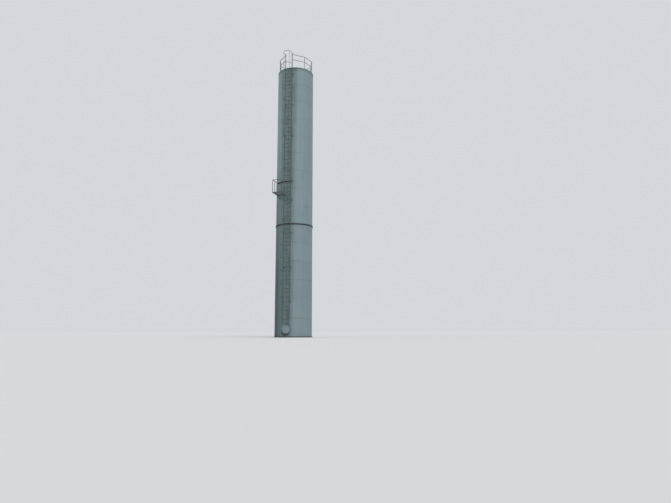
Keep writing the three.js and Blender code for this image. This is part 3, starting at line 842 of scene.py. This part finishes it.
def roof():
    """The roof plate and the dark bar round the wall under it."""
    plate = Steelwork()
    low = ROOF_LEVEL - ROOF_THICKNESS
    plate.disc_faces(ringed(ROOF_RADIUS, low, ROOF_LEVEL, PLATE_MIDDLE, ROOF_EDGE), SHELL_SIDES)
    plate.piece("roof_deck", ROOF_PAINT, TANK, ["roof_plate"])
    rim = Steelwork()
    rim.turned(ringed(RADIUS + RIM_BAR[0], low - RIM_BAR[1], low, RADIUS - INTO_WALL), SHELL_SIDES)
    rim.piece("roof_rim", RIM_PAINT, TANK)


def hatch():
    """The hatch's curb in a better finish, and its bolted cover with a turned-down lip and a handle."""
    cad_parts["hatch_curb"].material_slots[0].material = FITTING_PAINT
    x, y = HATCH_CENTRE
    half = HATCH_HALF
    cover = Steelwork()
    cover.block((x - half, y - half, HATCH_TOP - HATCH_PLATE), (x + half, y + half, HATCH_TOP))
    lip, drop = HATCH_LIP
    low, high = HATCH_TOP - drop, HATCH_TOP - HATCH_PLATE / 2
    for sign in (-1, 1):
        edge = sign * (half - lip / 2)
        cover.block((x + edge - lip / 2, y - half, low), (x + edge + lip / 2, y + half, high))
        cover.block((x - half, y + edge - lip / 2, low), (x + half, y + edge + lip / 2, high))
    grip = [(x - off, y - GRIP_FRONT, HATCH_TOP + rise) for off, rise in GRIP_BENDS]
    grip += [(x + off, y - GRIP_FRONT, HATCH_TOP + rise) for off, rise in reversed(GRIP_BENDS)]
    cover.sweep(grip, circle_section(GRIP_BAR, 10), BACK)
    cover.piece("hatch_lid", FITTING_PAINT, FITTING, ["hatch_cover"])
    bolts = Steelwork()
    for along in HATCH_BOLTS:
        for line in (-HATCH_BOLT_LINE, HATCH_BOLT_LINE):
            bolts.bolt((x + along, y + line, HATCH_TOP), UP, HATCH_BOLT)
            if along in HATCH_BOLTS[1:-1]:
                bolts.bolt((x + line, y + along, HATCH_TOP), UP, HATCH_BOLT)
    bolts.piece("hatch_bolts", BOLT_STEEL, FITTING)


def vent():
    """The roof vent: a pipe with a welded collar, and a cap on struts."""
    x, y = VENT_CENTRE
    place = Matrix.Translation((x, y, ROOF_LEVEL))
    work = Steelwork()
    work.disc_faces(VENT_PIPE, VENT_SIDES, place)
    work.disc_faces(VENT_CAP, VENT_SIDES, place)
    off, rise = STRUT_FOOT
    for turn in turns(VENT_STRUTS):
        foot = Vector((x + off * math.cos(turn), y + off * math.sin(turn), ROOF_LEVEL + rise))
        work.tube([foot, foot + Vector(polar(STRUT_RUN[0], turn, STRUT_RUN[1]))], STRUT_RADIUS, 8)
    work.piece("vent_pipe", FITTING_PAINT, FITTING, ["roof_vent"])


def manhole():
    """The manhole's neck with its weld on the round wall, its flange and its bolted cover."""
    axis = Matrix.Translation((0, 0, MANHOLE_LEVEL)) @ Matrix.Rotation(math.pi / 2, 4, "X")
    inner = NECK_RADIUS - NECK_WALL
    neck = Steelwork()
    neck.turned(
        [(NECK_RADIUS, NECK_START), (NECK_RADIUS, MANHOLE_FACE), (inner, MANHOLE_FACE), (inner, NECK_START)],
        NECK_SIDES, axis,
    )
    saddle = []
    for turn in turns(NECK_SIDES):
        x = NECK_RADIUS * math.cos(turn)
        saddle.append((x, wall_at(x) - TOUCH, MANHOLE_LEVEL + NECK_RADIUS * math.sin(turn)))
    neck.sweep(saddle, circle_section(NECK_WELD, 8), BACK, closed=True)
    neck.piece("manhole_neck_pipe", FITTING_PAINT, FITTING, ["manhole_neck"])
    flange = Steelwork()
    back, front = MANHOLE_FACE - MANHOLE_PLATE, MANHOLE_FACE + MANHOLE_PLATE
    flange.turned(ringed(MANHOLE_RADIUS, back, MANHOLE_FACE, NECK_RADIUS), MANHOLE_SIDES, axis)
    flange.piece("manhole_ring", FITTING_PAINT, FITTING, ["manhole_flange"])
    cover = Steelwork()
    seat = MANHOLE_FACE + GASKET
    inner_edge, outer_edge = MANHOLE_EDGES
    cover.disc_faces(
        [(MANHOLE_MIDDLE, seat), (MANHOLE_RADIUS - inner_edge, seat), (MANHOLE_RADIUS, seat + inner_edge),
         (MANHOLE_RADIUS, front - outer_edge), (MANHOLE_RADIUS - outer_edge, front), (MANHOLE_MIDDLE, front)],
        MANHOLE_SIDES, axis,
    )
    cover.piece("manhole_lid", FITTING_PAINT, FITTING, ["manhole_cover"])
    bolts = Steelwork()
    for turn in turns(MANHOLE_BOLTS, 0.5):
        x, z = MANHOLE_CIRCLE * math.cos(turn), MANHOLE_LEVEL + MANHOLE_CIRCLE * math.sin(turn)
        bolts.bolt((x, -front, z), FRONT, MANHOLE_BOLT)
        bolts.bolt((x, -back, z), BACK, MANHOLE_BOLT, stud=0.008)
    bolts.piece("manhole_bolts", FITTING_PAINT, FITTING)


# Ladder and cage

def ladder_length(index):
    """One length of the ladder with its rungs, wall arms and splices, and the bolts that hold it."""
    first = FIRST_RUNG + index * RUNGS * RUNG_PITCH
    bottom = LADDER_FOOT if index == 0 else first - RUNG_PITCH / 2
    last = index == len(HOOPS) - 1
    top = LADDER_TOP if last else first + (RUNGS - 0.5) * RUNG_PITCH
    work, rungs, pads, bolts = Steelwork(), Steelwork(), Steelwork(), Steelwork()
    for side in (-1, 1):
        x = side * LADDER_HALF
        along = [(x, LADDER_PLANE, bottom), (x, LADDER_PLANE, top)]
        work.sweep(along, bar_section(*STILE, STILE_EDGE), BACK)
        for rung in ARMS_AT_RUNGS:
            wall_arm(work, pads, bolts, x, first + rung * RUNG_PITCH)
        if index:
            half = SPLICE_PLATE[0] / 2
            plate_x = x - side * (STILE[0] / 2 + half)
            ends = [(plate_x, LADDER_PLANE, bottom + off) for off in (-SPLICE_HALF, SPLICE_HALF)]
            work.sweep(ends, bar_section(*SPLICE_PLATE), BACK)
            for offset in SPLICE_BOLTS:
                spot = (plate_x - side * half, LADDER_PLANE, bottom + offset)
                bolts.bolt(spot, (-side, 0, 0), SPLICE_BOLT, washer=False)
    inside = LADDER_HALF - STILE[0] / 2
    for step in range(RUNGS):
        level = first + step * RUNG_PITCH
        if level > ROOF_LEVEL:
            break
        ends = [(-LADDER_HALF, LADDER_PLANE, level), (LADDER_HALF, LADDER_PLANE, level)]
        rungs.tube(ends, RUNG_RADIUS, RUNG_SIDES)
        for side in (-1, 1):
            collar = [(side * x, LADDER_PLANE, level) for x in (inside - COLLAR_LENGTH, inside + TOUCH)]
            rungs.sweep(collar, circle_section(COLLAR_RADIUS, RUNG_SIDES))
    work.piece(f"ladder_length_{index + 1}", LADDER_PAINT, LADDER, [f"ladder_{index + 1}"])
    rungs.piece(f"ladder_rungs_{index + 1}", RAIL_PAINT, LADDER)
    pads.piece(f"ladder_pads_{index + 1}", TANK_PAINT, TANK)
    bolts.piece(f"ladder_bolts_{index + 1}", BOLT_STEEL, LADDER)


def wall_arm(work, pads, bolts, x, level):
    """The arm and bolted wall pad that hold one stile off the tank."""
    wall = wall_at(LADDER_HALF)
    face = wall - PAD_THICKNESS
    wide, high = PAD_HALF
    work.bar((x, LADDER_PLANE + STILE[1] / 2 - 2 * TOUCH, level), (x, wall - ARM_END, level), *ARM_BAR)
    pads.block((x - wide, face, level - high), (x + wide, wall + TOUCH, level + high))
    for offset in PAD_BOLTS:
        bolts.bolt((x, face, level + offset), FRONT, PAD_BOLT)


def cage_point(angle, level, radius=HOOP_RADIUS):
    turn = math.radians(angle)
    return Vector((radius * math.cos(turn), CAGE_CENTRE + radius * math.sin(turn), level))


def cage_outward(angle):
    return cage_point(angle, 0, 1) - cage_point(angle, 0, 0)


def is_open(level):
    """Whether a hoop is beside the platform, where the way on to it is left free."""
    return FLOOR - 2 * FLOOR_DEPTH < level < WAY_TOP


def hoop_path(level):
    turn_in = math.degrees(math.acos(HOOP_LAP_X / HOOP_RADIUS))
    end = OPEN_HOOP_END if is_open(level) else -180 - turn_in
    arc = [cage_point(turn_in + (end - turn_in) * step / HOOP_STEPS, level) for step in range(HOOP_STEPS + 1)]
    path = [Vector((HOOP_LAP_X, HOOP_LAP_BACK, level)), *arc]
    if not is_open(level):
        path.append(Vector((-HOOP_LAP_X, HOOP_LAP_BACK, level)))
    return path


def cage_length(index):
    """One length of the cage: its hoops, its upright straps and their bolts."""
    below = sum(HOOPS[:index])
    lowest = HOOP_TOP - (sum(HOOPS) - 1 - below) * HOOP_PITCH
    levels = [lowest + step * HOOP_PITCH for step in range(HOOPS[index])]
    half_bar = HOOP_BAR[1] / 2
    bottom = levels[0] - (half_bar if index == 0 else HOOP_PITCH / 2)
    last = index == len(HOOPS) - 1
    top = levels[-1] + (half_bar if last else HOOP_PITCH / 2)
    work, bolts = Steelwork(), Steelwork()
    shut = [level for level in levels if not is_open(level)]
    radius = HOOP_RADIUS - HOOP_BAR[0] / 2 - STRAP_BAR[0] / 2 + STRAP_SUNK
    for angle in STRAP_ANGLES:
        low, high = bottom, top
        if angle == STRAP_ANGLES[-1]:
            low = shut[0] - half_bar if is_open(bottom) else bottom
            high = shut[-1] + half_bar if is_open(top) else top
        across = cage_outward(angle).cross(UP)
        ends = [cage_point(angle, low, radius), cage_point(angle, high, radius)]
        work.sweep(ends, bar_section(*STRAP_BAR), across)
    for level in levels:
        work.sweep(hoop_path(level), bar_section(*HOOP_BAR))
        for side in (-1, 1):
            if side < 0 and is_open(level):
                continue
            x = side * (HOOP_LAP_X + HOOP_BAR[0] / 2)
            for back in HOOP_LAP_BOLTS:
                bolts.bolt((x, back, level), (side, 0, 0), HOOP_BOLT, washer=False)
        for angle in STRAP_ANGLES:
            if angle == STRAP_ANGLES[-1] and is_open(level):
                continue
            spot = cage_point(angle, level, HOOP_RADIUS + HOOP_BAR[0] / 2)
            bolts.bolt(spot, cage_outward(angle), STRAP_BOLT, washer=False)
    work.piece(f"cage_length_{index + 1}", LADDER_PAINT, LADDER, [f"cage_{index + 1}"])
    bolts.piece(f"cage_bolts_{index + 1}", BOLT_STEEL, LADDER)


# Rest platform

def platform_grating():
    """Bearing bars from front to back, and cross bars over them."""
    grating = Steelwork()
    x = DECK_LEFT + BEARING_PITCH
    while x < DECK_RIGHT - FRAME_MARGIN:
        back = wall_at(x, BEARING_TO_WALL) if x < NOTCH_SIDE else NOTCH_FRONT - FRAME_PLATE
        ends = [(x, y, BEARING_LEVEL) for y in (DECK_FRONT + FRAME_CLEAR, back)]
        grating.bar(*ends, *BEARING_BAR)
        x += BEARING_PITCH
    y = DECK_FRONT + CROSS_START
    while y < CROSS_END:
        right = (DECK_RIGHT if y < NOTCH_FRONT - FRAME_MARGIN else NOTCH_SIDE) - FRAME_PLATE
        if y > -RADIUS:
            right = min(right, wall_at(y, CROSS_TO_WALL))
        if right > DECK_LEFT + CROSS_START:
            ends = [(x, y, CROSS_LEVEL) for x in (DECK_LEFT + FRAME_CLEAR, right)]
            grating.bar(*ends, *CROSS_BAR)
        y += CROSS_PITCH
    grating.piece("platform_grating", GRATING_STEEL, LADDER, ["platform_floor"])


def platform_frame():
    """The frame round the grating, of angle bar at the front and the left and of flat bar elsewhere."""
    low = FLOOR - FLOOR_DEPTH
    inner_left, inner_right = DECK_LEFT + FRAME_PLATE, DECK_RIGHT - FRAME_PLATE
    inner_front, leg_front = DECK_FRONT + FRAME_PLATE, DECK_FRONT + FRAME_LEG
    left_back = wall_at(DECK_LEFT + FRAME_PLATE / 2, FRAME_TO_WALL)
    notch_back = wall_at(NOTCH_SIDE, FRAME_TO_WALL)
    notch_top, leg_top = FLOOR - TOUCH, low + FRAME_PLATE
    frame_bars = Steelwork()
    for start, end, top in (
        ((DECK_LEFT, DECK_FRONT), (inner_left, left_back), FLOOR),
        ((DECK_LEFT, DECK_FRONT), (DECK_RIGHT, inner_front), FLOOR),
        ((inner_right, DECK_FRONT), (DECK_RIGHT, NOTCH_FRONT), notch_top),
        ((NOTCH_SIDE, NOTCH_FRONT - FRAME_PLATE), (DECK_RIGHT, NOTCH_FRONT), notch_top),
        ((NOTCH_SIDE - FRAME_PLATE, NOTCH_FRONT), (NOTCH_SIDE, notch_back), notch_top),
        ((inner_left, inner_front), (inner_right, leg_front), leg_top),
        ((inner_left, leg_front), (DECK_LEFT + FRAME_LEG, left_back - FRAME_MARGIN), leg_top),
    ):
        frame_bars.block((*start, low), (*end, top))
    radius = RADIUS + FRAME_CLEAR
    start, stop = (math.degrees(math.asin(x / radius)) for x in (DECK_LEFT, NOTCH_SIDE))
    frame_bars.sweep(arc_on_tank(radius, start, stop, BENT_BAR_LEVEL, 20), bar_section(*BENT_BAR))
    frame_bars.piece("platform_frame", RAIL_PAINT, LADDER)


def platform_bracket(word, x):
    """A bracket of angle bar: the arm under the floor, the upright on the wall and the brace between."""
    top = FLOOR - FLOOR_DEPTH - TOUCH
    wall = wall_at(x, TOUCH)
    front, foot = DECK_FRONT + BRACKET_INSET, top - BRACKET_DROP
    half = BRACKET_ARM[0] / 2
    work = Steelwork()
    arm = [(u - half, -v) for u, v in reversed(angle_section(*BRACKET_ARM))]
    work.sweep([(x, front, top), (x, wall - 2 * TOUCH, top)], arm)
    work.block((x - half, wall - BRACKET_PLATE, foot), (x + half, wall - TOUCH, top))
    half = BRACKET_BRACE[0] / 2
    brace = [(u - half, v - half) for u, v in angle_section(*BRACKET_BRACE)]
    start = (x, wall - BRACE_FOOT[0], foot + BRACE_FOOT[1])
    end = (x, front + BRACE_HEAD[0], top - BRACE_HEAD[1])
    work.sweep([start, end], brace)
    bolts = Steelwork()
    above_foot, below_top = BRACKET_BOLTS
    for level in (foot + above_foot, top - below_top):
        bolts.bolt((x, wall - BRACKET_PLATE, level), FRONT, BRACKET_BOLT)
    work.piece(f"platform_knee_{word}", FITTING_PAINT, LADDER, [f"platform_bracket_{word}"])
    bolts.piece(f"platform_knee_bolts_{word}", BOLT_STEEL, LADDER)


def rounded_corner(before, corner, after, radius, steps=6):
    """Points of a bend that rounds off one corner of a path."""
    before, corner, after = Vector(before), Vector(corner), Vector(after)
    start = corner + (before - corner).normalized() * radius
    end = corner + (after - corner).normalized() * radius
    points = []
    for step in range(steps + 1):
        share = step / steps
        points.append(start * (1 - share) ** 2 + corner * 2 * share * (1 - share) + end * share ** 2)
    return points


def post(work, x, y, foot, top):
    """An upright tube with its weld at the foot."""
    work.tube([(x, y, foot), (x, y, top)], TUBE)
    work.tube([(x, y, foot), (x, y, foot + POST_WELD[1])], TUBE + POST_WELD[0])


def platform_railing():
    """The top rail in one bent tube round the front and the left, on its posts."""
    left, front = DECK_LEFT + POST_INSET, DECK_FRONT + POST_INSET
    right = DECK_RIGHT - POST_INSET
    work = Steelwork()
    wall_end = (left, wall_at(left, 2 * TOUCH), RAIL_LEVEL)
    corner = (left, front, RAIL_LEVEL)
    front_end = (right + TUBE, front, RAIL_LEVEL)
    work.tube([wall_end, *rounded_corner(wall_end, corner, front_end, CORNER_BEND), front_end], TUBE)
    for step in range(3):
        post(work, left, front + step * POST_PITCH, FLOOR, RAIL_LEVEL)
    post(work, right, front, FLOOR, RAIL_LEVEL)
    work.piece("platform_rail", RAIL_PAINT, LADDER, ["platform_railing"])


def wall_band():
    """The bar that follows the wall from the platform's rail to the ladder."""
    low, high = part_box("platform_wall_band")
    middle = RADIUS + WALL_BAND_CLEAR
    start = math.degrees(math.asin(low.x / middle)) + WALL_BAND_END
    stop = math.degrees(math.asin(high.x / middle)) - WALL_BAND_END
    thickness, edge = WALL_BAND
    section = bar_section(thickness, high.z - low.z, edge)
    work = Steelwork()
    work.sweep(arc_on_tank(middle, start, stop, (low.z + high.z) / 2, 40), section)
    # Painted near black: the bar stands for the shade in the gap between it and the wall
    work.piece("wall_bar", DARK_PAINT_AND_SHADE, LADDER, ["platform_wall_band"])


# Roof railing

def bent_rail(corners, level):
    """A level rail in one tube, straight between its corners in plan and bent at each of them."""
    places = [Vector((*corner, level)) for corner in corners]
    path = [places[0]]
    for before, corner, after in zip(places, places[1:], places[2:]):
        path.extend(rounded_corner(before, corner, after, min(RAIL_BEND, (after - corner).length / 2)))
    return [*path, places[-1]]


def roof_railing(word, corners, angles):
    """One stretch of the roof railing: top rail, middle rail and posts."""
    work, bolts = Steelwork(), Steelwork()
    for level in (ROOF_TOP_RAIL, ROOF_MID_RAIL):
        work.tube(bent_rail(corners, level), TUBE)
    length, width, thickness = FOOT_PLATE
    for angle in angles:
        spot = on_tank(ROOF_RAIL_RADIUS, angle, ROOF_LEVEL)
        along = Vector(polar(1, math.radians(angle), 0))
        post(work, spot.x, spot.y, ROOF_LEVEL, ROOF_TOP_RAIL)
        seat = spot + UP * (thickness / 2)
        work.bar(seat - along * length / 2, seat + along * length / 2, width, thickness)
        for end in (-FOOT_BOLT_OFF, FOOT_BOLT_OFF):
            bolts.bolt(spot + along * end + UP * thickness, UP, FOOT_BOLT)
    work.piece(f"roof_rail_{word}", LADDER_PAINT, LADDER, [f"roof_railing_{word}"])
    bolts.piece(f"roof_rail_bolts_{word}", BOLT_STEEL, LADDER)


def past_post(place, following, distance):
    """The point some distance past one post on the straight way to the next."""
    return place + (following - place).normalized() * distance


def roof_railings():
    """The railing, straight between its posts; each side is parted just past its side and its end post."""
    parted = 2 * TUBE + RAIL_SLIT
    for word, side in (("right", 1), ("left", -1)):
        angles = [side * angle for angle in ROOF_POSTS]
        front, beside, back, end = (on_tank(ROOF_RAIL_RADIUS, angle, 0).xy for angle in angles)
        at_stile = Vector((side * LADDER_HALF, LADDER_PLANE + STILE[1] / 2 + TOUCH))
        bend = at_stile + Vector((0, RAIL_STUB))
        parting = past_post(beside, back, 2 * TUBE)
        roof_railing(f"{word}_front", [at_stile, bend, front, beside, parting], angles[:2])
        start = past_post(beside, back, parted)
        if side > 0:
            last = past_post(end, Vector((-back.x, back.y)), 2 * TUBE)
            roof_railing(f"{word}_back", [start, back, end, last], angles[2:])
        else:
            roof_railing(f"{word}_back", [start, back, past_post(end, back, parted)], angles[2:3])


# Floor, light and camera

def pale_floor():
    mesh = bpy.data.meshes.new("pale_floor")
    corners = [(FLOOR_HALF * x, FLOOR_HALF * y, 0) for x, y in ((-1, -1), (1, -1), (1, 1), (-1, 1))]
    mesh.from_pydata(corners, [], [(0, 1, 2, 3)])
    material, _, shader = new_material("pale_floor")
    shader.inputs["Base Color"].default_value = (FLOOR_GREY, FLOOR_GREY, FLOOR_GREY, 1)
    shader.inputs["Roughness"].default_value = 0.95
    mesh.materials.append(material)
    floor = placed("pale_floor", mesh)


def sun(name, azimuth, elevation, strength, spread):
    """A soft distant light from an azimuth, counted as the camera's is, and a height above the horizon."""
    light = bpy.data.lights.new(name, "SUN")
    light.energy = strength
    light.angle = math.radians(spread)
    lamp = placed(name, light)
    rise = math.radians(elevation)
    toward = on_tank(math.cos(rise), azimuth, math.sin(rise))
    lamp.rotation_mode = "QUATERNION"
    lamp.rotation_quaternion = toward.to_track_quat("Z", "Y")
    lamp.location = toward * LIGHT_DISTANCE


def soft_sky():
    world = bpy.data.worlds.new("soft_sky")
    world.use_nodes = True
    background = world.node_tree.nodes["Background"]
    background.inputs["Color"].default_value = SKY_COLOUR
    background.inputs["Strength"].default_value = 1.0
    bpy.context.scene.world = world
    bpy.context.scene.view_settings.view_transform = "Standard"


def camera():
    """The photograph's viewpoint: low, 44.6 m off, to the right of the ladder, looking up past the tank."""
    azimuth, distance, eye = 20.3, 44.63, 0.45
    pitch, yaw, roll = math.radians(9.936), math.radians(4.402), math.radians(-0.17)
    data = bpy.data.cameras.new("camera")
    data.lens = 29.24
    data.sensor_width = 36.0
    data.shift_y = -0.02304
    data.clip_start, data.clip_end = 0.1, 3000
    viewer = placed("camera", data)
    viewer.location = on_tank(distance, azimuth, eye)
    heading = math.radians(azimuth + 90) - yaw
    forward = Vector(polar(math.cos(pitch), heading, math.sin(pitch)))
    right = forward.cross(UP).normalized()
    up = right.cross(forward)
    side = right * math.cos(roll) + up * math.sin(roll)
    top = up * math.cos(roll) - right * math.sin(roll)
    turned = Matrix((side, top, -forward)).transposed()
    viewer.rotation_mode = "QUATERNION"
    viewer.rotation_quaternion = turned.to_quaternion()
    bpy.context.scene.camera = viewer


shell("lower", BASE_THICKNESS, JOINT_LEVEL)
shell("upper", JOINT_LEVEL, ROOF_LEVEL - ROOF_THICKNESS)
tank_welds("welds_lower", 0, LOWER_COURSES)
tank_welds("welds_upper", LOWER_COURSES, COURSES)
joint_ring()
base()
roof()
hatch()
vent()
manhole()
for length in range(len(HOOPS)):
    ladder_length(length)
    cage_length(length)
platform_grating()
platform_frame()
platform_bracket("left", LEFT_BRACKET)
platform_bracket("right", RIGHT_BRACKET)
platform_railing()
wall_band()
roof_railings()
pale_floor()
soft_sky()
sun("key_light", azimuth=40, elevation=45, strength=1.5, spread=30)
sun("fill_light", azimuth=-60, elevation=30, strength=0.5, spread=70)
camera()
